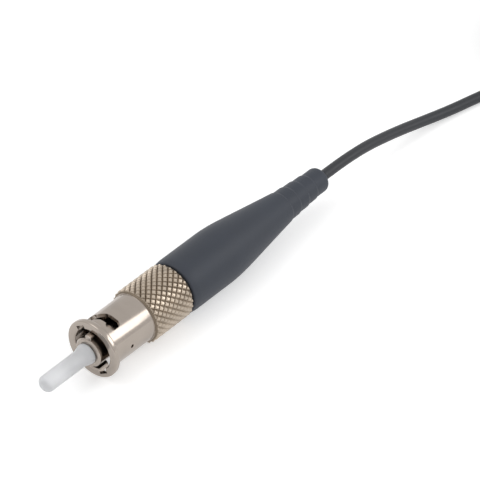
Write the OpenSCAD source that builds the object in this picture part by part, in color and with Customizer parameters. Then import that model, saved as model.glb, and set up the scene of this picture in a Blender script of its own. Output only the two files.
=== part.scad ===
// Pigtail with one bayonet fibre connector.
// The connector's axis is Y: the ferrule points to -Y, the cable leaves to +Y, and +Z is up.
// The origin is on the axis, in the plane of the coupling nut's front rim.

/* [Coupling nut] */
// Diameter of the bead round the nut's mouth
lip_d = 9.9; // [9.7:0.1:10.4]
// Length of the bead along the axis
lip_l = 1.0; // [0.8:0.1:1.3]
// Rounding of the bead's edges
lip_round = 0.28; // [0.1:0.02:0.36]
// Diameter of the smooth collar
collar_d = 8.2; // [8.1:0.05:8.7]
// Length of the smooth collar behind the bead
collar_l = 8.7; // [7.5:0.1:10]
// Diameter over the points of the knurl
knurl_d = 9.4; // [9.2:0.05:9.6]
// Length of the knurled grip
knurl_l = 8.6; // [7:0.1:10]
// Depth of the knurl's grooves
knurl_depth = 0.32; // [0.15:0.01:0.36]
// Number of diamonds round the grip
knurl_around = 26; // [22:1:32]
// Number of diamonds along the grip
knurl_along = 6; // [4:1:8]
// Share of each diamond that is left flat on top
knurl_flat = 0.3; // [0.1:0.05:0.6]
// Length of the plain bevelled band at each end of the knurl
knurl_band = 0.2; // [0.1:0.05:0.5]
// Bore that takes an adapter's tube
nut_bore_d = 7.0; // [6.9:0.05:7.1]
// Thickness of the web inside the nut that the washer pushes on
web_l = 1.9; // [1.2:0.1:2.2]
// Depth of the recess in the nut's back, behind the web
recess_l = 2.4; // [2.1:0.1:2.6]
// Diameter of that recess
recess_d = 7.2; // [6.8:0.1:7.6]

/* [Bayonet slots] */
// Width of a slot, for an adapter's lug
slot_w = 1.7; // [1.4:0.05:1.8]
// Radius that the entry grooves reach inside the bead
groove_r = 4.2; // [4.15:0.05:4.3]
// Where a slot starts, from +X towards +Z, in degrees
slot_start = 124; // [100:1:140]
// How far the nut turns from entry to lock, in degrees
slot_turn = 55; // [45:1:65]
// Distance from the rim to the middle of a slot at its entry
slot_near = 2.6; // [2.3:0.1:3]
// Distance from the rim to the middle of a slot at the top of its ramp
slot_far = 3.45; // [3.1:0.05:4]
// How far the lock notch comes back towards the rim
notch_l = 0.5; // [0.3:0.05:0.8]
// Diameter of the two small holes through the collar
peg_d = 0.6; // [0.4:0.05:0.8]
// Distance from the rim to those holes
peg_y = 4.6; // [4.3:0.1:6]

/* [Plug barrel] */
// Diameter of the barrel's front, which enters an adapter
barrel_d = 5.0; // [4.8:0.05:5.2]
// How far the barrel stands out of the nut's mouth
barrel_out = 1.0; // [0.5:0.1:1.5]
// Length of the barrel's front, as far as the spring flange
barrel_front_l = 8.4; // [7.5:0.1:9]
// Bevel at the barrel's front edge
barrel_bevel = 0.25; // [0.1:0.05:0.4]
// Thickness of the spring flange
flange_l = 1.0; // [0.7:0.1:1.4]
// Diameter of the barrel's neck, which the nut turns on
neck_d = 4.7; // [4.5:0.05:4.8]
// Width of the alignment key
key_w = 1.1; // [0.8:0.05:1.4]
// Length of the alignment key
key_l = 2.2; // [1.6:0.1:3]
// Height of the key above the barrel
key_h = 0.7; // [0.5:0.05:0.8]
// Diameter of the crimp stem at the barrel's back
stem_d = 3.2; // [3.0:0.05:3.4]
// Length of the crimp stem
stem_l = 6.5; // [5:0.1:8]
// Number of grip rings on the crimp stem
stem_rings = 6; // [4:1:8]

/* [Ferrule] */
// Ferrule diameter
ferrule_d = 2.5; // [2.4:0.05:2.6]
// Ferrule length
ferrule_l = 13; // [11:0.1:14]
// How far the ferrule stands out of the barrel
ferrule_out = 5.0; // [4:0.1:6]
// Bevel round the polished tip
tip_bevel = 0.3; // [0.1:0.05:0.4]
// Diameter of the glass fibre
fibre_d = 0.125; // [0.12:0.005:0.14]
// Outer diameter of the holder that the ferrule is pressed into
holder_d = 3.2; // [3.1:0.05:3.4]
// Length of that holder
holder_l = 9.5; // [8.6:0.1:10]
// How far the holder lies inside the barrel's front face
holder_in = 0.1; // [0.05:0.05:0.3]

/* [Spring and rings] */
// Wire diameter of the spring
wire_d = 0.5; // [0.4:0.05:0.6]
// Length of the spring as fitted
spring_l = 5.0; // [4.4:0.1:5.6]
// Number of turns of the spring, with its closed ends
spring_turns = 5; // [4:0.5:6]
// Thickness of the thrust washer
washer_l = 0.4; // [0.3:0.05:0.6]
// Thickness of the retaining ring
ring_l = 0.5; // [0.4:0.05:0.6]
// Width of the gap in the retaining ring
ring_gap = 1.6; // [1:0.1:2]

/* [Crimp sleeve and boot] */
// Wall of the crimp sleeve
sleeve_wall = 0.35; // [0.25:0.05:0.45]
// Length of the sleeve's rear end, which grips the jacket
sleeve_tail_l = 3.5; // [2.5:0.1:4.5]
// Largest diameter of the boot
boot_d = 9.44; // [9:0.02:9.6]
// Length of the boot
boot_l = 35.7; // [32:0.1:38]
// Length of the boot's straight front part
boot_straight_l = 9.2; // [7:0.1:11]
// Diameter at the end of the boot's taper
boot_waist_d = 5.5; // [5:0.05:6]
// Diameter of the boot's rear end
boot_end_d = 4.24; // [3.8:0.02:4.4]
// Length of the boot's ringed rear part
boot_ringed_l = 10; // [8:0.1:11]
// Number of shallow steps on that part
boot_steps = 4; // [3:1:5]
// Rounding of the boot's rear edge
boot_round = 0.9; // [0.5:0.05:1]

/* [Dust cap] */
// Diameter of the cap's stem
cap_d = 2.8; // [2.75:0.01:3]
// Length of the cap
cap_l = 9.8; // [9:0.1:11]
// Diameter of the cap's flared foot
cap_foot_d = 3.5; // [3.2:0.05:3.8]
// Length of the flared foot
cap_foot_l = 1.6; // [1:0.1:2]
// Rounding of the cap's tip
cap_round = 0.9; // [0.5:0.05:1.2]

/* [Cable] */
// Diameter of the cable
cable_d = 1.8; // [1.7:0.05:1.9]
// Wall of the cable's jacket
jacket_wall = 0.27; // [0.2:0.01:0.3]
// Diameter of the tight buffer round the fibre
buffer_d = 0.9; // [0.85:0.01:0.95]
// Length of the hank's straight runs
hank_run = 27; // [22:0.5:32]
// Radius of the inner fold at the hank's ends
fold_r = 5.4; // [5:0.1:6]
// Number of layers in the hank, each of two turns
hank_layers = 5; // [4:1:6]
// Length of the straight loose end
tail_l = 12; // [10:0.5:16]
// Width of the tie round one side of the hank
tie_w = 4; // [3:0.5:5]
// Thickness of the tie
tie_t = 0.4; // [0.3:0.05:0.6]

/* [Clearances] */
// Radial running clearance of the nut and the washer
run_gap = 0.05; // [0.03:0.01:0.08]
// Gap along the axis between parts that move on each other
end_gap = 0.05; // [0.03:0.01:0.1]
// Radial clearance of parts that are slid or crimped on
slip_gap = 0.02; // [0.01:0.005:0.03]
// Gap between the nut's back and the boot
boot_gap = 0.2; // [0.15:0.05:0.4]

/* [Hidden] */
$fn = 72;

nickel = [0.78, 0.76, 0.73];
steel = [0.62, 0.63, 0.65];
brass = [0.78, 0.66, 0.40];
zirconia = [0.95, 0.94, 0.90];
slate = [0.25, 0.27, 0.30];
charcoal = [0.20, 0.20, 0.21];

// Places along the axis
barrel_y = -barrel_out;
flange_y = barrel_y + barrel_front_l;
spring_y = flange_y + flange_l;
washer_y = spring_y + spring_l;
web_y = washer_y + washer_l + end_gap;
ring_y = web_y + web_l + end_gap;
grip_y = lip_l + collar_l;
nut_l = grip_y + knurl_l;
shoulder_y = ring_y + ring_l + 0.6;
stem_end = shoulder_y + stem_l;
ferrule_y = barrel_y - ferrule_out;
ferrule_end = ferrule_y + ferrule_l;
holder_y = barrel_y + holder_in;
holder_end = holder_y + holder_l;
boot_y = nut_l + boot_gap;
boot_end = boot_y + boot_l;

// Radii that follow from the fits
neck_r = neck_d / 2;
web_r = neck_r + run_gap;
knurl_r = knurl_d / 2;
knurl_root_r = knurl_r - knurl_depth;
knurl_core_r = knurl_root_r - 0.06;
knurl_lap = 0.02;
groove_ring_r = neck_r - 0.4;
flange_r = nut_bore_d / 2 - 0.2;
yarn_t = 0.15;
jacket_r = cable_d / 2;
jacket_bore_r = jacket_r - jacket_wall;
sleeve_bore_r = stem_d / 2 + yarn_t + 2 * slip_gap;
sleeve_r = sleeve_bore_r + sleeve_wall;
sleeve_tail_r = jacket_r + slip_gap;
sleeve_waist = stem_end + 0.4;
jacket_y = stem_end + 1.3;
sleeve_end = jacket_y + sleeve_tail_l;
guide_r = 0.8;
floor_z = -lip_d / 2;

// The cable's route from the boot's end: across, along, and the share of its drop to the floor
route = [[0, 0, 0], [0, 4, 0.01], [0, 8, 0.06], [0, 12, 0.18], [0.1, 16, 0.36], [0.3, 20, 0.56],
    [0.7, 24, 0.75], [1.3, 28, 0.9], [2.1, 32, 0.98], [3, 36, 1], [4.1, 40, 1], [5.6, 44, 1],
    [7.2, 48, 1], [8.5, 52, 1], [9, 56, 1]];
// The loose end's route from the end of the hank's second layer, in the same way
end_route = [[0, 0, 0], [0, 4, 0.2], [0, 8, 0.8], [0, 12, 1]];

// The hank: the cable folded into long loops, two side by side in each layer
hank_w = 2 * cable_d;
hank_h = hank_layers * cable_d;
outer_fold_r = fold_r + cable_d;
middle_fold_r = fold_r + cable_d / 2;
lying_z = floor_z + jacket_r;
route_end = route[len(route) - 1];
hank_x = route_end[0] - outer_fold_r;
hank_y = boot_end + route_end[1];
loose_x = route_end[0];
loose_y = hank_y + hank_run;
second_z = lying_z + cable_d;
tail_y = loose_y + end_route[len(end_route) - 1][1];

// Turns a shape made round Z so that its +Z lies along +Y
module along_axis(y = 0) {
    translate([0, y, 0]) rotate([-90, 0, 0]) children();
}

// A plain ring or disc along the axis
module ring(y, l, r_out, r_in = 0) {
    along_axis(y) difference() {
        cylinder(h = l, r = r_out);
        if (r_in > 0) translate([0, 0, -1]) cylinder(h = l + 2, r = r_in);
    }
}

// A turned shape: its profile is a list of [radius, place along the axis]
module turned(profile) {
    along_axis() rotate_extrude() polygon(profile);
}

// Points of a rounded corner of a profile, round the centre [x, y]
function arc(x, y, r, from, to, steps = 5) =
    [for (i = [0:steps]) let (a = from + (to - from) * i / steps) [x + r * cos(a), y + r * sin(a)]];

// Points of a smooth cubic curve between two ends
function curve(a, b, c, d, steps = 10) =
    [for (i = [0:steps]) let (t = i / steps, s = 1 - t)
        a * s * s * s + 3 * b * s * s * t + 3 * c * s * t * t + d * t * t * t];

// Faces of a tube with one ring of points for each place on its path
function tube_faces(rings, sides) = concat(
    [[for (k = [sides - 1:-1:0]) k]],
    [for (i = [0:rings - 2], k = [0:sides - 1]) let (a = i * sides, n = (k + 1) % sides)
        each [[a + k, a + n, a + sides + n], [a + k, a + sides + n, a + sides + k]]],
    [[for (k = [0:sides - 1]) (rings - 1) * sides + k]]);

function unit(v) = v / norm(v);

// ---- Coupling nut ----

// The knurl's grooves cross at pits, and each diamond stands between four of them.
// A row's pits lie half a diamond from the next row's, and so do its diamonds.
function knurl_at(step, row, r) =
    let (a = 180 * step / knurl_around, rows = 2 * knurl_along + 1,
        length = knurl_l - 2 * knurl_band)
    [r * cos(a), r * sin(a), grip_y + knurl_band + length * row / rows];

module diamond_knurl() {
    n = knurl_around;
    rows = 2 * knurl_along + 1;
    inner_r = knurl_core_r - 0.2;
    flat = sqrt(knurl_flat);
    corners = [[0, 1], [1, 0], [0, -1], [-1, 0]];
    pits = [for (row = [0:rows], k = [0:n - 1]) knurl_at(2 * k + 1 - row % 2, row, knurl_root_r)];
    tops = [for (row = [1:rows - 1], k = [0:n - 1], c = corners)
        knurl_at(2 * k + row % 2 + flat * c[0], row + flat * c[1], knurl_r)];
    inside = [for (row = [0, rows], k = [0:n - 1]) knurl_at(2 * k + 1 - row % 2, row, inner_r)];
    top_at = len(pits);
    in_at = top_at + len(tops);
    end_at = rows * n;
    diamonds = [for (row = [1:rows - 1], k = [0:n - 1])
        let (first = top_at + 4 * ((row - 1) * n + k), odd = row % 2,
            around = [(row + 1) * n + k, row * n + (k + odd) % n,
                (row - 1) * n + k, row * n + (k + odd + n - 1) % n])
        each concat(
            [[first, first + 1, first + 2], [first, first + 2, first + 3]],
            [for (m = [0:3]) let (next = (m + 1) % 4)
                each [[first + m, around[m], around[next]], [first + m, around[next], first + next]]])];
    ends = [for (k = [0:n - 1]) let (next = (k + 1) % n, last = (k + n - 1) % n)
        each [[last, n + k, k], [end_at + k, end_at + next, end_at - n + k],
            [k, next, in_at + next], [k, in_at + next, in_at + k],
            [end_at + next, end_at + k, in_at + n + k], [end_at + next, in_at + n + k, in_at + n + next],
            [in_at + k, in_at + n + next, in_at + n + k], [in_at + k, in_at + next, in_at + n + next]]];
    along_axis() polyhedron(concat(pits, tops, inside), concat(diamonds, ends));
}

// Middle of a slot, by the share of the turn: a ramp that levels out
function slot_y(s) = s < 0.5 ? slot_near + (slot_far - slot_near) * sin(180 * s) : slot_far;

module radial_pin(angle, y, d, r_from, r_to) {
    rotate([0, -angle, 0]) translate([r_from, y, 0]) rotate([0, 90, 0])
        cylinder(h = r_to - r_from, d = d, $fn = 32);
}

// One slot: entry groove, ramp and lock notch. Its turning points are a little wider.
module bayonet_slot(start) {
    half = slot_w / 2;
    turn_d = slot_w + 0.1;
    lock = start - slot_turn;
    r_in = nut_bore_d / 2 - 0.5;
    r_out = collar_d / 2 + 0.4;
    steps = 14;
    places = [for (i = [0:steps]) let (s = i / steps, a = start - slot_turn * s, y = slot_y(s))
        for (p = [[r_in, y - half], [r_out, y - half], [r_out, y + half], [r_in, y + half]])
        [p[0] * cos(a), p[1], p[0] * sin(a)]];
    polyhedron(places, tube_faces(steps + 1, 4));
    radial_pin(start, slot_near, turn_d, r_in - 0.2, r_out + 0.2);
    radial_pin(lock, slot_far, turn_d, r_in - 0.2, r_out + 0.2);
    radial_pin(lock, slot_far - notch_l, turn_d, r_in - 0.2, r_out + 0.2);
    rotate([0, -start, 0]) translate([r_in - 0.4, -1, -half])
        cube([groove_r - r_in + 0.4, slot_near + 1, slot_w]);
}

module coupling_nut() {
    lip_r = lip_d / 2;
    collar_r = collar_d / 2;
    bore_r = nut_bore_d / 2;
    bevel = 0.2;
    band_r = knurl_root_r + knurl_lap;
    band_l = knurl_band + knurl_lap;
    color(nickel) difference() {
        union() {
            turned(concat(
                [[0, 0]],
                arc(lip_r - lip_round, lip_round, lip_round, -90, 0),
                arc(lip_r - lip_round, lip_l - lip_round, lip_round, 0, 90),
                [[collar_r, lip_l], [collar_r, grip_y], [band_r - 0.12, grip_y],
                    [band_r, grip_y + band_l], [knurl_core_r, grip_y + band_l],
                    [knurl_core_r, nut_l - band_l], [band_r, nut_l - band_l],
                    [band_r - 0.12, nut_l], [0, nut_l]]));
            diamond_knurl();
        }
        turned([[0, -1], [bore_r + bevel, -1], [bore_r + bevel, 0], [bore_r, bevel], [bore_r, web_y],
            [web_r, web_y], [web_r, web_y + web_l], [recess_d / 2, web_y + web_l],
            [recess_d / 2, nut_l + 1], [0, nut_l + 1]]);
        for (half_turn = [0, 180]) {
            bayonet_slot(slot_start + half_turn);
            radial_pin(half_turn, peg_y, peg_d, bore_r - 0.5, collar_r + 0.5);
        }
    }
}

// ---- Plug barrel and what it holds ----

module plug_barrel() {
    r = barrel_d / 2;
    stem_r = stem_d / 2;
    root_r = stem_r - 0.15;
    pitch = stem_l / (stem_rings + 1);
    teeth = [for (i = [1:stem_rings]) let (y = shoulder_y + i * pitch)
        each [[root_r, y], [stem_r, y + 0.15 * pitch], [stem_r, y + 0.6 * pitch], [root_r, y + 0.75 * pitch]]];
    color(nickel) difference() {
        union() {
            turned(concat(
                [[0, barrel_y], [r - barrel_bevel, barrel_y], [r, barrel_y + barrel_bevel], [r, flange_y],
                    [flange_r, flange_y], [flange_r, spring_y], [neck_r, spring_y], [neck_r, ring_y],
                    [groove_ring_r, ring_y], [groove_ring_r, ring_y + ring_l],
                    [neck_r, ring_y + ring_l], [neck_r, shoulder_y], [root_r, shoulder_y]],
                teeth,
                [[root_r, stem_end], [0, stem_end]]));
            translate([-key_w / 2, barrel_y + 0.2, r - 0.4]) cube([key_w, key_l, key_h + 0.4]);
        }
        ring(barrel_y - 1, holder_end - barrel_y + 1, holder_d / 2);
        ring(holder_end - 0.1, stem_end - holder_end + 1, guide_r);
    }
}

module ferrule() {
    r = ferrule_d / 2;
    bore_r = fibre_d / 2;
    color(zirconia) turned([[bore_r, ferrule_y], [r - tip_bevel, ferrule_y],
        [r, ferrule_y + 2 * tip_bevel], [r, ferrule_end], [buffer_d / 2, ferrule_end],
        [bore_r, ferrule_end - 1]]);
}

module ferrule_holder() {
    color(steel) difference() {
        ring(holder_y, holder_l, holder_d / 2);
        ring(holder_y - 1, ferrule_end - holder_y + 1, ferrule_d / 2);
        ring(ferrule_end - 0.1, holder_l, buffer_d / 2 + slip_gap);
    }
}

module glass_fibre() {
    color("white") ring(ferrule_y, boot_end - ferrule_y, fibre_d / 2);
}

module tight_buffer() {
    start = ferrule_end + end_gap;
    color("gold") ring(start, boot_end - start, buffer_d / 2, fibre_d / 2);
}

module guide_tube() {
    start = holder_end + end_gap;
    color("ivory") ring(start, stem_end - start, guide_r - slip_gap, buffer_d / 2 + slip_gap);
}

// ---- Spring, washer and retaining ring ----

// Height of the wire's middle after some turns: closed at both ends, open between
function spring_rise(turn) =
    let (rise = spring_l - wire_d, closed = wire_d + 0.03, open = spring_turns - 2,
        pitch = (rise - 2 * closed) / open)
    turn < 1 ? turn * closed
        : turn < spring_turns - 1 ? closed + (turn - 1) * pitch
        : rise - (spring_turns - turn) * closed;

module compression_spring() {
    mean_r = neck_r + 0.2 + wire_d / 2;
    steps = 20 * spring_turns;
    sides = 6;
    points = [for (i = [0:steps]) let (turn = i / 20, a = 360 * turn)
        for (k = [0:sides - 1]) let (b = 360 * k / sides, r = mean_r + wire_d / 2 * cos(b))
        [r * cos(a), r * sin(a), spring_rise(turn) + wire_d / 2 * (1 + sin(b))]];
    color(steel) along_axis(spring_y) polyhedron(points, tube_faces(steps + 1, sides));
}

module thrust_washer() {
    color(steel) ring(washer_y, washer_l, flange_r, neck_r + run_gap);
}

module retaining_ring() {
    r = groove_ring_r + slip_gap;
    color(steel) difference() {
        ring(ring_y + end_gap / 2, ring_l - end_gap, neck_r + 0.6, r);
        translate([-ring_gap / 2, ring_y - 1, -neck_r - 2]) cube([ring_gap, ring_l + 2, neck_r + 2]);
    }
}

// ---- Crimp sleeve, yarn and cable end ----

module crimp_sleeve() {
    start = shoulder_y + end_gap;
    grip_r = sleeve_tail_r + sleeve_wall;
    color(brass) turned([[sleeve_bore_r, start], [sleeve_r, start], [sleeve_r, sleeve_waist],
        [grip_r, sleeve_waist + 0.8], [grip_r, sleeve_end], [sleeve_tail_r, sleeve_end],
        [sleeve_tail_r, sleeve_waist + 0.6], [sleeve_bore_r, sleeve_waist - 0.2]]);
}

module aramid_yarn() {
    on_stem = stem_d / 2 + slip_gap;
    on_buffer = buffer_d / 2 + slip_gap;
    in_jacket = jacket_bore_r - slip_gap;
    color("khaki") turned([[on_stem, shoulder_y + 0.6], [on_stem + yarn_t, shoulder_y + 0.6],
        [on_stem + yarn_t, stem_end + 0.1], [in_jacket, jacket_y - 0.25], [in_jacket, boot_end],
        [on_buffer, boot_end], [on_buffer, jacket_y - 0.5], [on_stem, stem_end + 0.1]]);
}

module jacket_end() {
    color(charcoal) ring(jacket_y, boot_end - jacket_y, jacket_r, jacket_bore_r);
}

// ---- Boot ----

module boot() {
    r = boot_d / 2;
    waist_r = boot_waist_d / 2;
    end_r = boot_end_d / 2;
    taper_y = boot_y + boot_straight_l;
    ringed_y = boot_end - boot_ringed_l;
    taper_l = ringed_y - taper_y;
    step_l = (boot_ringed_l - boot_round - 0.3) / boot_steps;
    step_r = (waist_r - end_r) / boot_steps;
    bore_r = jacket_r + run_gap;
    cavity_r = sleeve_r + slip_gap;
    grip_r = sleeve_tail_r + sleeve_wall + slip_gap;
    steps = [for (i = [1:boot_steps]) let (y = ringed_y + 0.3 + (i - 1) * step_l, s = waist_r - i * step_r)
        each [[s + 0.85 * step_r, y - 0.3], [s, y]]];
    color(slate) turned(concat(
        [[cavity_r, boot_y]],
        arc(r - 0.45, boot_y + 0.3, 0.3, -90, -20, 4),
        [[r, boot_y + 1.1]],
        curve([r, taper_y], [r, taper_y + 0.22 * taper_l],
            [r - 0.25 * (r - waist_r), taper_y + 0.33 * taper_l], [waist_r, ringed_y], 12),
        steps,
        arc(end_r - boot_round, boot_end - boot_round, boot_round, 0, 90),
        [[bore_r, boot_end], [bore_r, sleeve_end + 0.5], [grip_r, sleeve_end + 0.1],
            [grip_r, sleeve_waist + 0.9], [cavity_r, sleeve_waist + 0.1]]));
}

// ---- Dust cap ----

module dust_cap() {
    r = cap_d / 2;
    foot_r = cap_foot_d / 2;
    foot_y = barrel_y - end_gap;
    tip_y = foot_y - cap_l;
    bore_r = ferrule_d / 2 + slip_gap;
    bore_end = ferrule_y - 0.6;
    color([0.9, 0.92, 0.95, 0.7]) turned(concat(
        [[0, tip_y]],
        arc(r - cap_round, tip_y + cap_round, cap_round, -90, 0, 6),
        [[r, foot_y - cap_foot_l], [foot_r, foot_y - 0.4], [foot_r, foot_y], [bore_r, foot_y],
            [bore_r, bore_end + 0.5], [0, bore_end]]));
}

// ---- Cable, hank, tie and loose end ----

// A tube along a path of points, which starts and ends along the axis
module cable_along(path) {
    sides = 8;
    last = len(path) - 1;
    points = [for (i = [0:last])
        let (way = i == 0 || i == last ? unit([0, path[last][1] - path[0][1], 0])
                : unit(path[i + 1] - path[i - 1]),
            side = unit(cross(way, [0, 0, 1])), up = cross(side, way))
        for (k = [0:sides - 1]) let (a = 360 * (k + 0.5) / sides)
        path[i] + jacket_r * (side * cos(a) + up * sin(a))];
    polyhedron(points, tube_faces(last + 1, sides));
}

module cable() {
    color(charcoal) {
        cable_along([for (p = route) [p[0], boot_end + p[1], lying_z * p[2]]]);
        cable_along([for (p = end_route)
            [loose_x + p[0], loose_y + p[1], second_z + (lying_z - second_z) * p[2]]]);
    }
}

// Outline across the hank's side, or a smaller one inside it
module hank_section(inset = 0) {
    x = hank_w / 2 - jacket_r;
    z = hank_h / 2 - jacket_r;
    r = jacket_r - inset;
    polygon(concat(arc(x, z, r, 0, 90, 4), arc(-x, z, r, 90, 180, 4),
        arc(-x, -z, r, 180, 270, 4), arc(x, -z, r, 270, 360, 4)));
}

module hank_side(side, inset = 0) {
    translate([hank_x + side * middle_fold_r, hank_y, floor_z + hank_h / 2])
        rotate([-90, 0, 0]) linear_extrude(hank_run) hank_section(inset);
}

module hank_fold(y, turned_to) {
    translate([hank_x, y, floor_z + hank_h / 2]) rotate([0, 0, turned_to])
        rotate_extrude(angle = 180) translate([middle_fold_r, 0]) hank_section();
}

// What the tie takes up round one side of the hank
module tie_seat(width, inset) {
    difference() {
        intersection() {
            hank_side(-1);
            translate([hank_x - outer_fold_r - cable_d, hank_y + (hank_run - width) / 2, floor_z - 1])
                cube([hank_w + 2 * cable_d, width, hank_h + 2]);
        }
        hank_side(-1, inset);
    }
}

module cable_hank() {
    color(charcoal) difference() {
        union() {
            hank_side(1);
            hank_side(-1);
            hank_fold(hank_y + hank_run, 0);
            hank_fold(hank_y, 180);
        }
        tie_seat(tie_w, tie_t);
    }
}

module hank_tie() {
    color("black") tie_seat(tie_w - 2 * slip_gap, tie_t - slip_gap);
}

module cable_tail() {
    color(charcoal) translate([loose_x, 0, lying_z]) ring(tail_y, tail_l, jacket_r);
}

dust_cap();
ferrule();
glass_fibre();
ferrule_holder();
plug_barrel();
coupling_nut();
compression_spring();
thrust_washer();
retaining_ring();
crimp_sleeve();
aramid_yarn();
guide_tube();
tight_buffer();
jacket_end();
boot();
cable();
cable_hank();
hank_tie();
cable_tail();
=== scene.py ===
"""Looks of a fibre connector on its pigtail, built over the fixed frame of its CAD model."""

from math import cos, pi, radians, sin, sqrt, tau

import bmesh
import bpy
from bpy.props import FloatProperty, FloatVectorProperty, IntProperty, PointerProperty
from mathutils import Matrix, Vector
from mathutils.geometry import interpolate_bezier


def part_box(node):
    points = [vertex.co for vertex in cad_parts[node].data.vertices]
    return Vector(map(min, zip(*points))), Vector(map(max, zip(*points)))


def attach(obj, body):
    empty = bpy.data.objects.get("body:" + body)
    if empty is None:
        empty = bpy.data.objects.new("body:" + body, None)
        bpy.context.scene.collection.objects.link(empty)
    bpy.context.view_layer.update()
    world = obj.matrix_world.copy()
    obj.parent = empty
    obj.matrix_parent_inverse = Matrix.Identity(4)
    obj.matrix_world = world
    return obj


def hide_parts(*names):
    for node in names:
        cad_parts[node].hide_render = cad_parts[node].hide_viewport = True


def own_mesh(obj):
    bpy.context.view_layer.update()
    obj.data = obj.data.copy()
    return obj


bl_info = {
    "name": "Fibre connector pigtail",
    "version": (1, 0, 0),
    "blender": (4, 5, 0),
    "location": "3D View > Sidebar > Pigtail",
    "description": "Builds the finished surfaces of a bayonet fibre connector, its boot, cap and folded cable",
    "category": "Object",
}

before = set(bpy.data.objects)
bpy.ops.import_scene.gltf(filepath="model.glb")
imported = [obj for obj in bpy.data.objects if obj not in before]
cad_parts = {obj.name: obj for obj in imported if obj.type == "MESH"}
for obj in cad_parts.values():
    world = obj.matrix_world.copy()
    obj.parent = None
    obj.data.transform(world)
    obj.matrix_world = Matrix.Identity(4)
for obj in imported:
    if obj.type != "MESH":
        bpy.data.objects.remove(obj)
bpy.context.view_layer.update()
MM = 0.001

NUT_LOW, NUT_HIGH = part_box("coupling_nut")
BOOT_LOW, BOOT_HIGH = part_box("boot")
BARREL_LOW, BARREL_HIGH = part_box("plug_barrel")
CAP_LOW, CAP_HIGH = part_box("dust_cap")
TAIL_LOW, TAIL_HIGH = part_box("cable_tail")
TIE_LOW, TIE_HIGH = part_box("hank_tie")
FLOOR_Z = NUT_LOW[2]

SEAM = 0.002 * MM  # Points nearer than this are one
EDGE = 0.05 * MM  # Rounding of a turned part's edges
OVER = 0.1 * MM  # How far one cutter reaches past another
KNURL_CELLS = 4  # Grid cells across half a diamond of the knurl
SLOT_STEPS = 12  # Steps round each half of a slot
TAPER_POINTS = 28  # Points along the boot's taper
MIX_FIRST, MIX_SECOND, MIX_RESULT = 6, 7, 2  # Colour sockets of a Mix node
LIT = Vector((0, 20 * MM, 0))  # What the lamps are aimed at


# ---- Properties ----

def length(name, text, millimetres, low=0.0, high=100.0):
    """A length in metres whose default is written in millimetres."""
    return FloatProperty(name=name, description=text, default=millimetres * MM, min=low * MM, max=high * MM,
                         unit="LENGTH", precision=5)


def colour(name, text, value):
    """A colour without alpha."""
    return FloatVectorProperty(name=name, description=text, default=value, size=3, min=0.0, max=1.0,
                               subtype="COLOR")


class NutSettings(bpy.types.PropertyGroup):
    """Sizes of the coupling nut."""
    bead_length: length("Bead length", "Length of the bead round the mouth", 1.0)
    bead_round: length("Bead rounding", "Rounding of the bead's edges", 0.28)
    collar_diameter: length("Collar diameter", "Diameter of the smooth collar", 8.2)
    collar_length: length("Collar length", "Length of the smooth collar", 8.7)
    knurl_diameter: length("Knurl diameter", "Diameter over the knurl's diamonds", 9.4)
    knurl_depth: length("Knurl depth", "Depth of the knurl's grooves", 0.32)
    knurl_band: length("Knurl band", "Plain bevel at each end of the knurl", 0.2)
    knurl_flat: FloatProperty(name="Diamond tops", description="Share of each diamond left flat on top",
                              default=0.3, min=0.05, max=0.7)
    diamonds_around: IntProperty(name="Diamonds around", description="Diamonds round the grip", default=26, min=12)
    diamonds_along: IntProperty(name="Diamonds along", description="Diamonds along the grip", default=6, min=3)
    bore_diameter: length("Bore diameter", "Bore that an adapter's tube enters", 7.0)
    web_start: length("Web start", "Distance from the rim to the web inside", 13.85)
    web_length: length("Web length", "Thickness of the web inside", 1.9)
    web_bore: length("Web bore", "Bore of the web", 4.8)
    recess_diameter: length("Recess diameter", "Diameter of the recess in the nut's back", 7.2)
    slot_width: length("Slot width", "Width of a bayonet slot", 1.7)
    slot_near: length("Slot entry", "Distance from the rim to a slot's middle at its entry", 2.6)
    slot_far: length("Slot end", "Distance from the rim to a slot's middle at its end", 3.45)
    notch_length: length("Lock notch", "How far the lock notch comes back", 0.5)
    groove_reach: length("Groove reach", "Radius that the entry grooves reach", 4.2)
    slot_start: FloatProperty(name="Slot start", description="Where a slot starts", default=radians(124),
                              subtype="ANGLE")
    slot_turn: FloatProperty(name="Slot turn", description="Angle from a slot's entry to its lock",
                             default=radians(55), subtype="ANGLE")
    peg_diameter: length("Peg hole", "Diameter of the small holes in the collar", 0.6)
    peg_place: length("Peg hole place", "Distance from the rim to those holes", 4.6)


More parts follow.
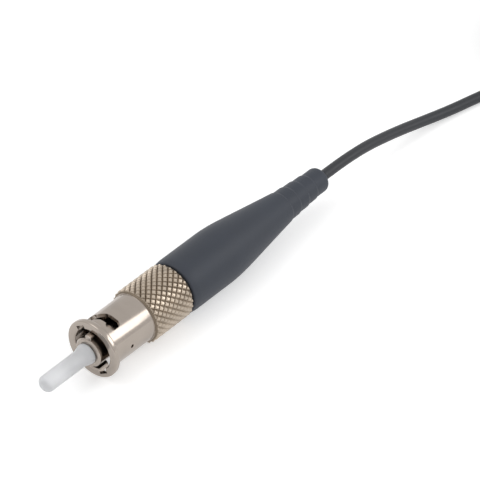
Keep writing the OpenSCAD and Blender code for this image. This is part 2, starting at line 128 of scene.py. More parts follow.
class PlugSettings(bpy.types.PropertyGroup):
    """Sizes of the plug barrel and the dust cap."""
    barrel_diameter: length("Barrel diameter", "Diameter of the barrel's front", 5.0)
    barrel_bevel: length("Barrel bevel", "Bevel of the barrel's front edge", 0.25)
    holder_diameter: length("Holder diameter", "Bore of the barrel round the ferrule's holder", 3.2)
    holder_depth: length("Holder depth", "Depth of that bore from the barrel's front", 9.6)
    flange_place: length("Flange place", "Distance from the rim to the spring flange", 7.4)
    flange_length: length("Flange length", "Thickness of the spring flange", 1.0)
    spring_travel: length("Spring travel", "How far the nut can be pushed on", 1.8)
    neck_diameter: length("Neck diameter", "Diameter of the neck that the nut turns on", 4.7)
    neck_end: length("Neck end", "Distance from the rim to the neck's end", 16.9)
    ring_place: length("Ring place", "Distance from the rim to the retaining ring's groove", 15.8)
    ring_width: length("Ring width", "Width of that groove", 0.5)
    ring_depth: length("Ring depth", "Depth of that groove", 0.4)
    stem_diameter: length("Stem diameter", "Diameter of the crimp stem", 3.2)
    stem_bore: length("Stem bore", "Bore of the crimp stem", 1.6)
    key_place: length("Key place", "Distance from the barrel's front to the alignment key", 0.2)
    key_width: length("Key width", "Width of the alignment key", 1.1)
    key_length: length("Key length", "Length of the alignment key", 2.2)
    key_height: length("Key height", "Height of the alignment key", 0.7)
    cap_diameter: length("Cap diameter", "Diameter of the dust cap's stem", 2.8)
    cap_round: length("Cap rounding", "Rounding of the dust cap's tip", 0.9)
    cap_foot: length("Cap foot", "Length of the dust cap's flared foot", 1.6)
    cap_bore: length("Cap bore", "Bore of the dust cap", 2.54)
    cap_bore_end: length("Cap bore end", "Distance from the rim to the bore's closed end", 6.6)


class BootSettings(bpy.types.PropertyGroup):
    """Sizes of the strain relief boot."""
    straight: length("Straight part", "Length of the boot's straight front part", 9.2)
    waist_diameter: length("Waist diameter", "Diameter at the end of the taper", 5.5)
    end_diameter: length("End diameter", "Diameter of the rear end", 4.24)
    ringed: length("Ringed part", "Length of the ringed rear part", 10.0)
    end_round: length("End rounding", "Rounding of the rear edge", 0.9)
    steps: IntProperty(name="Steps", description="Shallow steps on the rear part", default=4, min=1, max=8)
    cavity: length("Cavity", "Diameter of the cavity round the crimp sleeve", 4.32)
    cavity_end: length("Cavity end", "Distance from the rim to the cavity's end", 25.0)


class CableSettings(bpy.types.PropertyGroup):
    """Sizes of the cable and its hank."""
    diameter: length("Diameter", "Diameter of the cable", 1.8)
    fold_radius: length("Fold radius", "Radius of the inner fold at the hank's ends", 5.4)
    hank_layers: IntProperty(name="Layers", description="Layers in the hank, each of two turns", default=5, min=2)
    shift: length("Shift", "Length over which the cable moves to its next place in the hank", 6.0)
    tie_squeeze: length("Tie squeeze", "How far the tie presses the turns in", 0.4)


class FinishSettings(bpy.types.PropertyGroup):
    """Colours of the finishes."""
    nickel: colour("Nickel", "Bright nickel plate", (0.385, 0.338, 0.298))
    knurl: colour("Knurl", "Nickel on the knurl, handled and duller", (0.53, 0.45, 0.365))
    # Painted shade: a dark colour laid into the knurl's grooves for the shade that falls there
    painted_groove_shade: colour("Groove grime", "What has settled in the knurl's grooves", (0.20, 0.16, 0.12))
    boot: colour("Boot", "Moulded boot", (0.040, 0.046, 0.060))
    jacket: colour("Cable jacket", "Extruded jacket", (0.030, 0.032, 0.037))
    cap: colour("Dust cap", "Frosted cap", (0.90, 0.905, 0.92))
    zirconia: colour("Ferrule", "Polished ceramic", (0.90, 0.89, 0.85))
    floor: colour("Floor", "Pale floor", (0.86, 0.86, 0.86))


class StageSettings(bpy.types.PropertyGroup):
    """Camera and lights."""
    azimuth: FloatProperty(name="Azimuth", description="Direction the camera stands in", default=radians(40.5),
                           subtype="ANGLE")
    elevation: FloatProperty(name="Elevation", description="Height angle of the camera", default=radians(40),
                             subtype="ANGLE")
    distance: length("Distance", "How far the camera stands", 600.0, high=2000.0)
    aim: length("Aim", "How far along the axis the camera looks", 34.45)
    aim_drop: length("Aim drop", "How far under the axis the camera looks", 0.35)
    half_width: length("Half width", "Half of what the picture takes in at that point", 37.5)
    key_power: FloatProperty(name="Key light", description="Power of the large soft light", default=1.5, unit="POWER")
    fill_power: FloatProperty(name="Top light", description="Power of the light overhead", default=1.1, unit="POWER")
    surround: FloatProperty(name="Surroundings", description="Strength of the light all round", default=0.72)
    glow: FloatProperty(name="Floor glow", description="Glow of the floor where it is seen directly", default=0.4)


# ---- Shared shaping ----

def new_piece(name, bm, body, *materials):
    """Makes a finished piece of a bmesh: closed seams, outward faces, smooth but for its edges."""
    bmesh.ops.remove_doubles(bm, verts=bm.verts, dist=SEAM)
    bmesh.ops.recalc_face_normals(bm, faces=bm.faces)
    shade(bm)
    mesh = bpy.data.meshes.new(name)
    bm.to_mesh(mesh)
    bm.free()
    piece = bpy.data.objects.new(name, mesh)
    bpy.context.scene.collection.objects.link(piece)
    for material in materials:
        mesh.materials.append(material)
    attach(piece, body)
    return piece


def shade(bm, crease=radians(34)):
    """Smooth shading, with edges sharper than the crease kept sharp."""
    for face in bm.faces:
        face.smooth = True
    for edge in bm.edges:
        edge.smooth = len(edge.link_faces) != 2 or edge.calc_face_angle(0.0) < crease


def rounded_outline(bm, corners, closed=True):
    """Edges of a profile, given as (radius, place along the axis, rounding) corners.

    An open profile has no edge from its last corner back to its first."""
    verts = [bm.verts.new((radius, along, 0.0)) for radius, along, _ in corners]
    bm.faces.new(verts)
    for rounding in sorted({corner[2] for corner in corners if corner[2] > 0}):
        turned = [vert for vert, corner in zip(verts, corners) if corner[2] == rounding]
        bmesh.ops.bevel(bm, geom=turned, offset=rounding, offset_type="OFFSET", affect="VERTICES",
                        segments=5, profile=0.5, material=-1)
    bmesh.ops.delete(bm, geom=bm.faces[:], context="FACES_ONLY")
    if not closed:
        bmesh.ops.delete(bm, geom=[bm.edges.get((verts[-1], verts[0]))], context="EDGES_FACES")


def turn(bm, steps=160):
    """Spins every edge of the profile round the connector's axis."""
    bmesh.ops.spin(bm, geom=bm.verts[:] + bm.edges[:], cent=(0, 0, 0), axis=(0, 1, 0), dvec=(0, 0, 0),
                   angle=tau, steps=steps, use_merge=True, use_normal_flip=False, use_duplicate=False)


def turned_bmesh(corners, steps=160, closed=True):
    """A bmesh turned from a profile."""
    bm = bmesh.new()
    rounded_outline(bm, corners, closed)
    turn(bm, steps)
    bmesh.ops.remove_doubles(bm, verts=bm.verts, dist=SEAM)
    bmesh.ops.recalc_face_normals(bm, faces=bm.faces)
    return bm


def cut(bm, cutter):
    """The bmesh with the cutter's volume taken away, both given as bmeshes."""
    shapes = []
    for name, shape in (("whole", bm), ("cutter", cutter)):
        mesh = bpy.data.meshes.new(name)
        shape.to_mesh(mesh)
        shape.free()
        shapes.append(bpy.data.objects.new(name, mesh))
        bpy.context.scene.collection.objects.link(shapes[-1])
    whole, knife = shapes
    boolean = whole.modifiers.new("cut", "BOOLEAN")
    boolean.object = knife
    boolean.operation = "DIFFERENCE"
    boolean.solver = "EXACT"
    boolean.use_self = True
    result = bmesh.new()
    evaluated = whole.evaluated_get(bpy.context.evaluated_depsgraph_get())
    result.from_mesh(evaluated.to_mesh())
    evaluated.to_mesh_clear()
    for shape in shapes:
        mesh = shape.data
        bpy.data.objects.remove(shape)
        bpy.data.meshes.remove(mesh)
    return result


def radial(angle, along, out=0.0):
    """Where something that points out from the axis is placed: its own +X points out."""
    return Matrix.Rotation(-angle, 4, "Y") @ Matrix.Translation((out, along, 0))


# ---- Shared materials ----

def put(tree, socket, value):
    """Sets a socket, or joins it to another node's output."""
    if isinstance(value, bpy.types.NodeSocket):
        tree.links.new(value, socket)
    else:
        socket.default_value = value


def mixed(tree, factor, first, second):
    """A colour between two colours."""
    node = tree.nodes.new("ShaderNodeMix")
    node.data_type = "RGBA"
    for socket, value in (("Factor", factor), (MIX_FIRST, first), (MIX_SECOND, second)):
        put(tree, node.inputs[socket], tuple(value) + (1,) if isinstance(value, (tuple, list)) else value)
    return node.outputs[MIX_RESULT]


class Nodes:
    """A new material's nodes, added by type and joined by name."""

    def __init__(self, name):
        self.material = bpy.data.materials.new(name)
        self.material.use_nodes = True
        self.tree = self.material.node_tree
        self.shader = self.tree.nodes["Principled BSDF"]
        self.coordinates = self.tree.nodes.new("ShaderNodeTexCoord").outputs["Object"]

    def add(self, kind, inputs=None, **settings):
        """Adds a node. Its inputs are values or the outputs of other nodes."""
        node = self.tree.nodes.new(kind)
        for key, value in settings.items():
            setattr(node, key, value)
        for key, value in (inputs or {}).items():
            put(self.tree, node.inputs[key], value)
        return node

    def set(self, **inputs):
        """Sets the shader's inputs, with spaces in their names written as underscores."""
        for key, value in inputs.items():
            put(self.tree, self.shader.inputs[key.replace("_", " ")], value)

    def noise(self, scale, detail=3.0, roughness=0.5, vector=None):
        """Soft irregular values from 0 to 1, the scale in features per metre."""
        return self.add("ShaderNodeTexNoise", {"Vector": vector or self.coordinates, "Scale": scale,
                                               "Detail": detail, "Roughness": roughness}).outputs["Fac"]

    def stretched(self, along, across=1.0):
        """Object coordinates stretched along and across the connector's axis."""
        return self.add("ShaderNodeMapping", {"Vector": self.coordinates, "Scale": (across, along, across)}
                        ).outputs["Vector"]

    def ramp(self, value, *stops):
        """Colours or greys by value, as (place, grey or colour) stops."""
        node = self.add("ShaderNodeValToRGB", {"Fac": value})
        elements = node.color_ramp.elements
        while len(elements) < len(stops):
            elements.new(0.5)
        for element, (place, tone) in zip(elements, stops):
            element.position = place
            element.color = (tone,) * 3 + (1,) if isinstance(tone, (int, float)) else tuple(tone) + (1,)
        return node.outputs["Color"]

    def mix(self, factor, first, second):
        """A colour between two colours."""
        return mixed(self.tree, factor, first, second)

    def bump(self, height, distance, strength=1.0):
        """Puts a fine relief on the shader, its depth in metres."""
        self.set(Normal=self.add("ShaderNodeBump", {"Height": height, "Distance": distance,
                                                    "Strength": strength}).outputs["Normal"])

    def from_axis(self):
        """Distance from the connector's axis, in metres."""
        flat = self.add("ShaderNodeVectorMath", {0: self.coordinates, 1: (1, 0, 1)}, operation="MULTIPLY")
        return self.add("ShaderNodeVectorMath", {0: flat.outputs[0]}, operation="LENGTH").outputs["Value"]

    def between(self, value, low, high):
        """A value mapped from low..high to 0..1."""
        return self.add("ShaderNodeMapRange", {"Value": value, "From Min": low, "From Max": high}).outputs["Result"]


def seen_directly(tree):
    """1 for what the camera sees, also in metal or through something clear, and 0 for other light."""
    path = tree.nodes.new("ShaderNodeLightPath")
    seen = path.outputs["Is Camera Ray"]
    for name in ("Is Glossy Ray", "Is Transmission Ray"):
        either = tree.nodes.new("ShaderNodeMath")
        either.operation = "MAXIMUM"
        tree.links.new(seen, either.inputs[0])
        tree.links.new(path.outputs[name], either.inputs[1])
        seen = either.outputs[0]
    return seen


def bright_nickel(finishes):
    """Turned and plated metal with faint tool marks round it."""
    nodes = Nodes("bright_nickel")
    marks = nodes.noise(900, 2.0, vector=nodes.stretched(14.0, 0.4))
    cloud = nodes.noise(260, 3.0)
    base = tuple(finishes.nickel)
    nodes.set(Base_Color=nodes.mix(nodes.ramp(cloud, (0.35, 0.0), (0.75, 1.0)), base, [c * 0.9 for c in base]),
              Metallic=1.0, Roughness=nodes.ramp(marks, (0.3, 0.13), (0.75, 0.24)))
    nodes.bump(marks, 0.004 * MM, 0.35)
    return nodes.material


def knurled_nickel(finishes, root, top):
    """Duller plate on the grip, with painted shade in its grooves that leaves the tops bright."""
    nodes = Nodes("knurled_nickel")
    height = nodes.between(nodes.from_axis(), root, top)
    cloud = nodes.noise(420, 4.0, 0.6)
    knurl_plate = tuple(finishes.knurl)
    plate = nodes.mix(nodes.ramp(cloud, (0.3, 0.0), (0.7, 1.0)), knurl_plate, [c * 0.78 for c in knurl_plate])
    # Painted shade: the base colour darkens towards the groove roots, by distance from the axis
    nodes.set(Base_Color=nodes.mix(nodes.ramp(height, (0.05, 0.0), (0.6, 1.0)), tuple(finishes.painted_groove_shade), plate),
              Metallic=1.0, Roughness=nodes.ramp(height, (0.1, 0.55), (0.9, 0.36)))
    nodes.bump(cloud, 0.01 * MM, 0.4)
    return nodes.material


def moulded_boot(finishes):
    """Satin moulded elastomer."""
    nodes = Nodes("moulded_boot")
    grain = nodes.noise(2600, 3.0, 0.6)
    cloud = nodes.noise(120, 4.0, 0.55)
    base = tuple(finishes.boot)
    nodes.set(Base_Color=nodes.mix(nodes.ramp(cloud, (0.3, 0.0), (0.75, 1.0)), [c * 0.9 for c in base],
                                   [c * 1.12 for c in base]),
              Roughness=nodes.ramp(cloud, (0.2, 0.46), (0.8, 0.58)), Specular_IOR_Level=0.32)
    nodes.bump(grain, 0.012 * MM, 0.5)
    return nodes.material


def extruded_jacket(finishes):
    """Smooth satin cable jacket."""
    nodes = Nodes("extruded_jacket")
    cloud = nodes.noise(500, 3.0)
    base = tuple(finishes.jacket)
    nodes.set(Base_Color=nodes.mix(cloud, [c * 0.88 for c in base], [c * 1.15 for c in base]),
              Roughness=nodes.ramp(cloud, (0.2, 0.38), (0.8, 0.52)), Specular_IOR_Level=0.35)
    nodes.bump(nodes.noise(1800, 2.0), 0.01 * MM, 0.4)
    return nodes.material


def frosted_cap(finishes):
    """Soft translucent plastic."""
    nodes = Nodes("frosted_cap")
    cloud = nodes.noise(700, 3.0)
    base = tuple(finishes.cap)
    nodes.set(Base_Color=nodes.mix(cloud, base, [c * 0.96 for c in base]),
              Roughness=nodes.ramp(cloud, (0.2, 0.3), (0.8, 0.42)), Transmission_Weight=0.45, IOR=1.45)
    nodes.bump(cloud, 0.01 * MM, 0.3)
    return nodes.material


def simple_finish(name, base, roughness, metallic=0.0, spread=0.08, scale=800.0, stretch=1.0):
    """A plain finish with slight changes of tone and sheen over it."""
    nodes = Nodes(name)
    cloud = nodes.noise(scale, 3.0, vector=nodes.stretched(stretch))
    nodes.set(Base_Color=nodes.mix(cloud, [min(1.0, c * (1 + spread)) for c in base],
                                   [c * (1 - spread) for c in base]),
              Metallic=metallic, Roughness=nodes.ramp(cloud, (0.2, roughness * 0.85), (0.8, roughness * 1.15)))
    nodes.bump(cloud, 0.006 * MM, 0.3)
    return nodes.material


# ---- Pieces ----

def smooth(share):
    """A share from 0 to 1 that starts and ends gently."""
    return share * share * (3 - 2 * share)


def slot_cutter(nut):
    """Everything that is cut through the coupling nut's wall."""
    bm = bmesh.new()
    half = nut.slot_width / 2
    inside = nut.bore_diameter / 2 - 0.6 * MM
    outside = nut.collar_diameter / 2 + 0.5 * MM
    before_rim = 1 * MM
    for start in (nut.slot_start, nut.slot_start + pi):
        lock = start - nut.slot_turn
        reach = nut.groove_reach - inside
        bmesh.ops.create_cube(bm, size=1.0, matrix=radial(start, (nut.slot_near - before_rim) / 2, inside + reach / 2)
                              @ Matrix.Diagonal((reach, nut.slot_near + before_rim, nut.slot_width, 1)))
        for angle, along in ((start, nut.slot_near), (lock, nut.slot_far), (lock, nut.slot_far - nut.notch_length)):
            drill(bm, angle, along, nut.slot_width + OVER, inside - OVER, outside + OVER)
        rise = nut.slot_far - nut.slot_near
        corners = [bm.verts.new(radial(start, nut.slot_near + side, out) @ Vector())
                   for out, side in ((inside, -half), (outside, -half), (outside, half), (inside, half))]
        end = [bm.faces.new(corners)]
        for climb in (rise, 0.0):
            swept = bmesh.ops.spin(bm, geom=end + list(end[0].verts) + list(end[0].edges), cent=(0, 0, 0),
                                   axis=(0, 1, 0), dvec=(0, climb / SLOT_STEPS, 0), angle=nut.slot_turn / 2,
                                   steps=SLOT_STEPS, use_merge=False, use_normal_flip=False, use_duplicate=False)
            end = [item for item in swept["geom_last"] if isinstance(item, bmesh.types.BMFace)]
    for angle in (0.0, pi):
        drill(bm, angle, nut.peg_place, nut.peg_diameter, inside, outside)
    bmesh.ops.recalc_face_normals(bm, faces=bm.faces)
    return bm


def drill(bm, angle, along, diameter, start, end):
    """Adds a round pin that points out from the axis."""
    bmesh.ops.create_cone(bm, cap_ends=True, cap_tris=False, segments=48, radius1=diameter / 2,
                          radius2=diameter / 2, depth=end - start,
                          matrix=radial(angle, along, (start + end) / 2) @ Matrix.Rotation(pi / 2, 4, "Y"))


def wrap_knurl(bm, nut, first, last):
    """Adds the knurl: a flat grid wrapped round the axis, with two families of grooves pressed in."""
    around = 2 * nut.diamonds_around
    rows = 2 * nut.diamonds_along + 1
    top = nut.knurl_diameter / 2
    bmesh.ops.create_grid(bm, x_segments=around * KNURL_CELLS, y_segments=rows * KNURL_CELLS, size=0.5)
    flat = sqrt(nut.knurl_flat)
    ends = 0.001
    for vert in bm.verts:
        across, along = (vert.co.x + 0.5) * around, (vert.co.y + 0.5) * rows
        slopes = [abs((across + side * along + 1) % 2 - 1) for side in (1, -1)]
        height = min(1.0, (1 - max(slopes)) / (1 - flat)) if ends < along < rows - ends else 0.0
        radius = top - nut.knurl_depth * (1 - height)
        angle = tau * across / around
        vert.co = (radius * cos(angle), first + (last - first) * along / rows, -radius * sin(angle))
    bmesh.ops.remove_doubles(bm, verts=bm.verts, dist=SEAM)


class PIGTAIL_OT_coupling_nut(bpy.types.Operator):
    """Turn the coupling nut, knurl its grip and cut its bayonet slots"""
    bl_idname = "pigtail.coupling_nut"
    bl_label = "Coupling Nut"

    def execute(self, context):
        nut = context.scene.pigtail_nut
        finishes = context.scene.pigtail_finishes
        rim, back = NUT_LOW[1], NUT_HIGH[1]
        grip = rim + nut.bead_length + nut.collar_length
        root = nut.knurl_diameter / 2 - nut.knurl_depth
        collar = nut.collar_diameter / 2
        bore = nut.bore_diameter / 2
        bead = NUT_HIGH[0]
        web, web_bore = rim + nut.web_start, nut.web_bore / 2
        web_end, recess = web + nut.web_length, nut.recess_diameter / 2
        lip = root - 0.1 * MM
        mouth = 0.2 * MM
        bm = bmesh.new()
        rounded_outline(bm, [
            (root, grip + nut.knurl_band, 0), (lip, grip, 0.03 * MM), (collar, grip, 0.06 * MM),
            (collar, rim + nut.bead_length, 0.08 * MM), (bead, rim + nut.bead_length, nut.bead_round),
            (bead, rim, nut.bead_round), (bore + mouth, rim, EDGE), (bore, rim + mouth, EDGE), (bore, web, EDGE),
            (web_bore, web, EDGE), (web_bore, web_end, EDGE), (recess, web_end, EDGE), (recess, back, EDGE),
            (lip, back, 0.03 * MM), (root, back - nut.knurl_band, 0)], closed=False)
        turn(bm, 2 * nut.diamonds_around * KNURL_CELLS)
        grip_skin = bmesh.new()
        wrap_knurl(grip_skin, nut, grip + nut.knurl_band, back - nut.knurl_band)
        skin = bpy.data.meshes.new("grip_skin")
        grip_skin.to_mesh(skin)
        grip_skin.free()
        bm.from_mesh(skin)
        bpy.data.meshes.remove(skin)
        bmesh.ops.remove_doubles(bm, verts=bm.verts, dist=2 * SEAM)
        bmesh.ops.recalc_face_normals(bm, faces=bm.faces)
        bm = cut(bm, slot_cutter(nut))
        touch = 0.02 * MM
        for face in bm.faces:
            centre = face.calc_center_median()
            on_grip = centre.y > grip - touch / 2 and sqrt(centre.x ** 2 + centre.z ** 2) > lip - touch
            face.material_index = 1 if on_grip else 0
        piece = new_piece("nut_and_knurled_grip", bm, "nut", bright_nickel(finishes),
                          knurled_nickel(finishes, root, nut.knurl_diameter / 2))
        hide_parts("coupling_nut")
        return {"FINISHED"}


class PIGTAIL_OT_plug(bpy.types.Operator):
    """Turn the plug barrel with its key, and mould the dust cap"""
    bl_idname = "pigtail.plug"
    bl_label = "Plug and Cap"

    def execute(self, context):
        self.barrel(context.scene.pigtail_plug, context.scene.pigtail_finishes)
        self.cap(context.scene.pigtail_plug, context.scene.pigtail_finishes)
        return {"FINISHED"}

    def barrel(self, plug, finishes):
        front, back = BARREL_LOW[1], BARREL_HIGH[1]
        out = plug.barrel_diameter / 2
        flange = NUT_LOW[1] + plug.flange_place
        ring = NUT_LOW[1] + plug.ring_place
        neck, stem, bore = plug.neck_diameter / 2, plug.stem_diameter / 2, plug.holder_diameter / 2
        groove, holder_end = neck - plug.ring_depth, front + plug.holder_depth
        bevel = 0.12 * MM
        bm = turned_bmesh([
            (bore, front, bevel), (out - plug.barrel_bevel, front, EDGE), (out, front + plug.barrel_bevel, EDGE),
            (out, flange, EDGE), (BARREL_HIGH[0], flange, EDGE), (BARREL_HIGH[0], flange + plug.flange_length, EDGE),
            (neck, flange + plug.flange_length, EDGE), (neck, ring, 0), (groove, ring, 0),
            (groove, ring + plug.ring_width, 0), (neck, ring + plug.ring_width, 0),
            (neck, plug.neck_end, EDGE), (stem, plug.neck_end, EDGE), (stem, back, EDGE),
            (plug.stem_bore / 2, back, EDGE), (plug.stem_bore / 2, holder_end, 0), (bore, holder_end, 0)],
            steps=128)
        sunk = 0.3 * MM
        key = bmesh.ops.create_cube(bm, size=1.0, matrix=Matrix.Translation(
            (0, front + plug.key_place + plug.key_length / 2, out + (plug.key_height - sunk) / 2))
            @ Matrix.Diagonal((plug.key_width, plug.key_length, plug.key_height + sunk, 1)))
        edges = list({edge for vert in key["verts"] for edge in vert.link_edges})
        bmesh.ops.bevel(bm, geom=edges, offset=bevel, offset_type="OFFSET", affect="EDGES", segments=3,
                        profile=0.5, material=-1)
        piece = new_piece("plug_barrel_and_key", bm, "pigtail", bright_nickel(finishes))
        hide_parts("plug_barrel")

    def cap(self, plug, finishes):
        tip, foot = CAP_LOW[1], CAP_HIGH[1]
        stem, flare, bore = plug.cap_diameter / 2, CAP_HIGH[0], plug.cap_bore / 2
        bore_end = NUT_LOW[1] - plug.cap_bore_end
        lip, cone = 0.4 * MM, 0.5 * MM
        bm = turned_bmesh([
            (0, tip, 0), (stem, tip, plug.cap_round), (stem, foot - plug.cap_foot, 0.3 * MM),
            (flare, foot - lip, 0.1 * MM), (flare, foot, 0.08 * MM), (bore, foot, EDGE),
            (bore, bore_end + cone, 0.2 * MM), (0, bore_end, 0)], steps=96, closed=False)
        piece = new_piece("moulded_dust_cap", bm, "cap", frosted_cap(finishes))
        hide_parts("dust_cap")


class PIGTAIL_OT_boot(bpy.types.Operator):
    """Mould the strain relief boot"""
    bl_idname = "pigtail.boot"
    bl_label = "Boot"

    def execute(self, context):
        boot = context.scene.pigtail_boot
        cable = context.scene.pigtail_cable
        front, back = BOOT_LOW[1], BOOT_HIGH[1]
        out, waist, end = BOOT_HIGH[0], boot.waist_diameter / 2, boot.end_diameter / 2
        taper, ringed = front + boot.straight, back - boot.ringed
        run = ringed - taper
        level, bend, fall = 0.22 * run, 0.33 * run, 0.25 * (out - waist)
        curve = interpolate_bezier(Vector((out, taper, 0)), Vector((out, taper + level, 0)),
                                   Vector((out - fall, taper + bend, 0)), Vector((waist, ringed, 0)), TAPER_POINTS)
        ramp, soft = 0.3 * MM, 0.1 * MM
        step = (boot.ringed - boot.end_round - ramp) / boot.steps
        drop = (waist - end) / boot.steps
        rings = []
        for number in range(1, boot.steps + 1):
            place, radius = ringed + ramp + (number - 1) * step, waist - number * drop
            rings += [(radius + 0.85 * drop, place - ramp, soft), (radius, place, soft)]
        clearance = 0.05 * MM
        sleeve = cable.diameter / 2 + clearance
        cavity, cavity_end = boot.cavity / 2, NUT_LOW[1] + boot.cavity_end
        draft, lead, cone = 0.17 * MM, 1.1 * MM, 2 * MM
        bm = turned_bmesh(
            [(cavity, front, soft), (out - draft, front, 0.3 * MM), (out, front + lead, 0.4 * MM)]
            + [(point.x, point.y, 0) for point in curve] + rings
            + [(end, back, boot.end_round), (sleeve, back, soft), (sleeve, cavity_end + cone, 0),
               (cavity, cavity_end, 0)])
        piece = new_piece("moulded_boot", bm, "pigtail", moulded_boot(context.scene.pigtail_finishes))
        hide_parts("boot")
        return {"FINISHED"}


class PIGTAIL_OT_cable(bpy.types.Operator):
    """Lay the cable along its route, fold its hank and leave its loose end"""
    bl_idname = "pigtail.cable"
    bl_label = "Cable"

    # Across, along, and the share of the drop to the floor, as in the CAD model
    ROUTE = ((0, 0, 0), (0, 4, 0.01), (0, 8, 0.06), (0, 12, 0.18), (0.1, 16, 0.36), (0.3, 20, 0.56),
             (0.7, 24, 0.75), (1.3, 28, 0.9), (2.1, 32, 0.98), (3, 36, 1), (4.1, 40, 1), (5.6, 44, 1),
             (7.2, 48, 1), (8.5, 52, 1), (9, 56, 1))
    END_ROUTE = ((0, 4, 0.2), (0, 8, 0.8), (0, 12, 1))

    def execute(self, context):
        cable = context.scene.pigtail_cable
        points = self.route(cable)
        data = bpy.data.curves.new("cable_on_its_route", "CURVE")
        data.dimensions = "3D"
        data.bevel_depth = cable.diameter / 2
        data.bevel_resolution = 5
        data.resolution_u = 4
        data.use_fill_caps = True
        spline = data.splines.new("BEZIER")
        spline.bezier_points.add(len(points) - 1)
        for bezier, point in zip(spline.bezier_points, points):
            bezier.co = point
            bezier.handle_left_type = bezier.handle_right_type = "AUTO"
        data.materials.append(extruded_jacket(context.scene.pigtail_finishes))
        piece = bpy.data.objects.new("cable_on_its_route", data)
        context.scene.collection.objects.link(piece)
        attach(piece, "pigtail")
        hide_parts("cable", "cable_hank", "cable_tail")
        return {"FINISHED"}

    def route(self, cable):
        """Points from the boot through the hank to the loose end."""
        lying = FLOOR_Z + cable.diameter / 2
        points = [Vector((across * MM, BOOT_HIGH[1] + along * MM, lying * share))
                  for across, along, share in self.ROUTE]
        start = points[-1].copy()
        run = TAIL_LOW[1] - self.END_ROUTE[-1][1] * MM - start.y
        middle = cable.fold_radius + cable.diameter / 2
        loop = 2 * (run + pi * middle)
        whole = (2 * cable.hank_layers - 1) * loop + run
        steps = round(whole / cable.diameter)
        hank = [self.wound(cable, start, run, loop, whole * step / steps) for step in range(1, steps + 1)]
        leaves = hank[-1]
        loose = [Vector((leaves.x + across * MM, leaves.y + along * MM, leaves.z + (lying - leaves.z) * share))
                 for across, along, share in self.END_ROUTE]
        tail = [Vector((leaves.x, TAIL_LOW[1] + (TAIL_HIGH[1] - TAIL_LOW[1]) * share, lying))
                for share in (0.25, 0.5, 0.75, 1.0)]
        return points + hank + loose + tail

    def wound(self, cable, start, run, loop, passed):
        """A point of the hank. Each turn keeps its place, then shifts to the next one a little
        sooner than the turn before it did, so no two turns meet."""
        stretch = loop - cable.shift
        turn_ = min(int(passed / stretch), 2 * cable.hank_layers - 1)
        share = smooth(min(1.0, (passed - turn_ * stretch) / cable.shift))
        before, after = self.place(cable, max(0, turn_ - 1)), self.place(cable, turn_)
        out, level = ((1 - share) * a + share * b for a, b in zip(before, after))
        middle = cable.fold_radius + cable.diameter / 2
        radius = cable.fold_radius + cable.diameter * out
        half_way, rest = divmod(passed % loop, loop / 2)
        side = 1 - 2 * half_way
        centre = start - Vector((cable.fold_radius + cable.diameter, 0, 0))
        height = cable.diameter * level
        if rest < run:
            along = rest if side > 0 else run - rest
            if side < 0:
                radius, height = self.squeezed(cable, run, middle, along, radius, height)
            return centre + Vector((side * radius, along, height))
        angle = (rest - run) / middle
        return centre + Vector((side * radius * cos(angle), (run if side > 0 else 0) + side * radius * sin(angle),
                                height))

    def place(self, cable, turn_):
        """Column and layer of a turn: in on the floor, up the inner column, down the outer one."""
        layers = cable.hank_layers
        if turn_ == 0:
            return 1, 0
        return (0, turn_ - 1) if turn_ <= layers else (1, 2 * layers - turn_)

    def squeezed(self, cable, run, middle, along, radius, height):
        """Where the tie goes round, the turns are pressed in towards the middle of the bundle."""
        half = (TIE_HIGH[1] - TIE_LOW[1]) / 2
        fade = 1.6 * half
        share = min(1.0, max(0.0, (half + fade - abs(along - run / 2)) / fade))
        squeeze = cable.tie_squeeze * smooth(share)
        half_height = cable.diameter * (cable.hank_layers - 1) / 2
        return (middle + (radius - middle) * (1 - squeeze / (cable.diameter / 2)),
                half_height + (height - half_height) * (1 - squeeze / half_height))


class PIGTAIL_OT_inner_parts(bpy.types.Operator):
    """Give every CAD part that stays its own finish"""
    bl_idname = "pigtail.inner_parts"
    bl_label = "Inner Parts"

    def execute(self, context):
        finishes = context.scene.pigtail_finishes
        steel = simple_finish("drawn_steel", (0.50, 0.51, 0.53), 0.28, metallic=1.0, stretch=6.0)
        given = {
            "ferrule": simple_finish("polished_zirconia", tuple(finishes.zirconia), 0.12, spread=0.02),
            "glass_fibre": simple_finish("glass_fibre", (0.85, 0.90, 0.94), 0.1, spread=0.02),
            "ferrule_holder": simple_finish("turned_steel", (0.55, 0.56, 0.58), 0.22, metallic=1.0, stretch=10.0),
            "thrust_washer": steel,
            "retaining_ring": steel,
            "crimp_sleeve": simple_finish("crimped_brass", (0.72, 0.58, 0.34), 0.3, metallic=1.0),
            "aramid_yarn": simple_finish("aramid_yarn", (0.66, 0.50, 0.16), 0.7, spread=0.3, scale=6000,
                                         stretch=0.05),
            "guide_tube": simple_finish("guide_tube", (0.75, 0.75, 0.72), 0.4),
            "tight_buffer": simple_finish("tight_buffer", (0.80, 0.80, 0.76), 0.4),
            "jacket_end": extruded_jacket(finishes),
            "hank_tie": simple_finish("soft_tie", (0.018, 0.018, 0.02), 0.55, spread=0.25, scale=3000),
        }
        for node, material in given.items():
            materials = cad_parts[node].data.materials
            for index in range(len(materials)):
                materials[index] = material
            if not len(materials):
                materials.append(material)
        self.spring(context.scene.pigtail_plug, steel)
        return {"FINISHED"}

    def spring(self, plug, steel):
        """The coil spring, with the seams of its CAD mesh closed."""
        bm = bmesh.new()
        bm.from_mesh(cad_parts["compression_spring"].data)
        piece = new_piece("fitted_spring", bm, "pigtail", steel)
        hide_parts("compression_spring")
        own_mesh(piece)


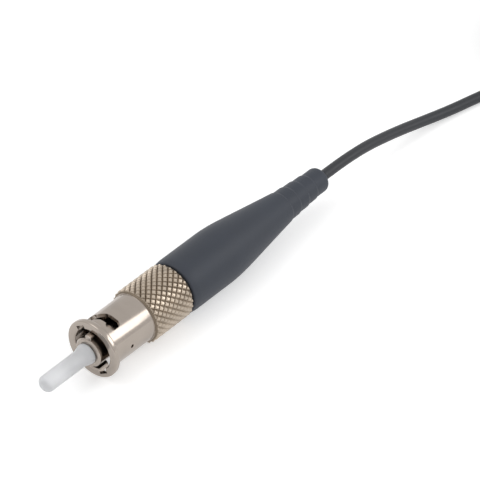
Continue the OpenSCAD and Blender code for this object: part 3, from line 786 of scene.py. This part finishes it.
class PIGTAIL_OT_stage(bpy.types.Operator):
    """Set up the camera, floor, lights and surroundings"""
    bl_idname = "pigtail.stage"
    bl_label = "Stage"

    def execute(self, context):
        stage = context.scene.pigtail_stage
        self.camera(context.scene, stage)
        self.floor(context.scene, stage, context.scene.pigtail_finishes)
        self.surroundings(context.scene, stage)
        self.lamp(context.scene, "key_light", (0.52, 0.50, 0.42), 0.42, stage.key_power)
        self.lamp(context.scene, "top_light", (-0.30, -0.25, 0.75), 0.5, stage.fill_power)
        context.scene.view_settings.view_transform = "Standard"
        return {"FINISHED"}

    def camera(self, scene, stage):
        """A camera at the viewing angle, aimed just under the connector's axis."""
        data = bpy.data.cameras.new("view")
        data.sensor_width = 36
        data.lens = data.sensor_width * stage.distance / (2 * stage.half_width)
        data.clip_start, data.clip_end = 0.01, 10
        camera = bpy.data.objects.new("view", data)
        scene.collection.objects.link(camera)
        back = Vector((sin(stage.azimuth) * cos(stage.elevation), -cos(stage.azimuth) * cos(stage.elevation),
                       sin(stage.elevation)))
        right = Vector((cos(stage.azimuth), sin(stage.azimuth), 0))
        turned = Matrix((right, back.cross(right), back)).transposed().to_4x4()
        target = Vector((0, stage.aim, -stage.aim_drop))
        camera.matrix_world = Matrix.Translation(target + back * stage.distance) @ turned
        scene.camera = camera

    def floor(self, scene, stage, finishes):
        """A pale floor that looks white and keeps the object's shadow."""
        bm = bmesh.new()
        bmesh.ops.create_grid(bm, x_segments=1, y_segments=1, size=1.0,
                              matrix=Matrix.Translation((0, 40 * MM, FLOOR_Z)))
        mesh = bpy.data.meshes.new("floor")
        bm.to_mesh(mesh)
        bm.free()
        floor_ = bpy.data.objects.new("floor", mesh)
        scene.collection.objects.link(floor_)
        nodes = Nodes("pale_floor")
        nodes.set(Base_Color=tuple(finishes.floor) + (1,), Roughness=0.8, Specular_IOR_Level=0.0)
        glow = nodes.add("ShaderNodeMath", {0: seen_directly(nodes.tree), 1: stage.glow}, operation="MULTIPLY")
        nodes.set(Emission_Color=(1, 1, 1, 1), Emission_Strength=glow.outputs[0])
        mesh.materials.append(nodes.material)

    def surroundings(self, scene, stage):
        """A plain grey room, white behind the object."""
        world = bpy.data.worlds.new("room")
        world.use_nodes = True
        scene.world = world
        tree = world.node_tree
        shown = mixed(tree, seen_directly(tree), (stage.surround,) * 3, (1, 1, 1))
        tree.links.new(shown, tree.nodes["Background"].inputs["Color"])

    def lamp(self, scene, name, place, size, power):
        """A soft square light aimed at the connector."""
        data = bpy.data.lights.new(name, "AREA")
        data.size, data.energy = size, power
        lamp = bpy.data.objects.new(name, data)
        scene.collection.objects.link(lamp)
        place = Vector(place)
        turned = (place - LIT).to_track_quat("Z", "Y").to_matrix().to_4x4()
        lamp.matrix_world = Matrix.Translation(place) @ turned


class PIGTAIL_PT_panel(bpy.types.Panel):
    """Buttons and sizes for the pigtail"""
    bl_idname = "PIGTAIL_PT_panel"
    bl_label = "Pigtail"
    bl_space_type = "VIEW_3D"
    bl_region_type = "UI"
    bl_category = "Pigtail"

    def draw(self, context):
        for operator in OPERATORS:
            self.layout.operator(operator.bl_idname)
        for name in GROUPS:
            box = self.layout.box()
            group = getattr(context.scene, name)
            for prop in group.bl_rna.properties:
                if prop.identifier not in {"rna_type", "name"}:
                    box.prop(group, prop.identifier)


OPERATORS = (PIGTAIL_OT_stage, PIGTAIL_OT_cable, PIGTAIL_OT_coupling_nut, PIGTAIL_OT_plug, PIGTAIL_OT_boot,
             PIGTAIL_OT_inner_parts)
GROUPS = {"pigtail_nut": NutSettings, "pigtail_plug": PlugSettings, "pigtail_boot": BootSettings,
          "pigtail_cable": CableSettings, "pigtail_finishes": FinishSettings, "pigtail_stage": StageSettings}


def register():
    for cls in (*GROUPS.values(), *OPERATORS, PIGTAIL_PT_panel):
        bpy.utils.register_class(cls)
    for name, cls in GROUPS.items():
        setattr(bpy.types.Scene, name, PointerProperty(type=cls))


def unregister():
    for name in GROUPS:
        delattr(bpy.types.Scene, name)
    for cls in reversed((*GROUPS.values(), *OPERATORS, PIGTAIL_PT_panel)):
        bpy.utils.unregister_class(cls)


def main():
    register()
    bpy.ops.pigtail.stage()
    bpy.ops.pigtail.cable()
    bpy.ops.pigtail.coupling_nut()
    bpy.ops.pigtail.plug()
    bpy.ops.pigtail.boot()
    bpy.ops.pigtail.inner_parts()


if __name__ == "__main__":
    main()
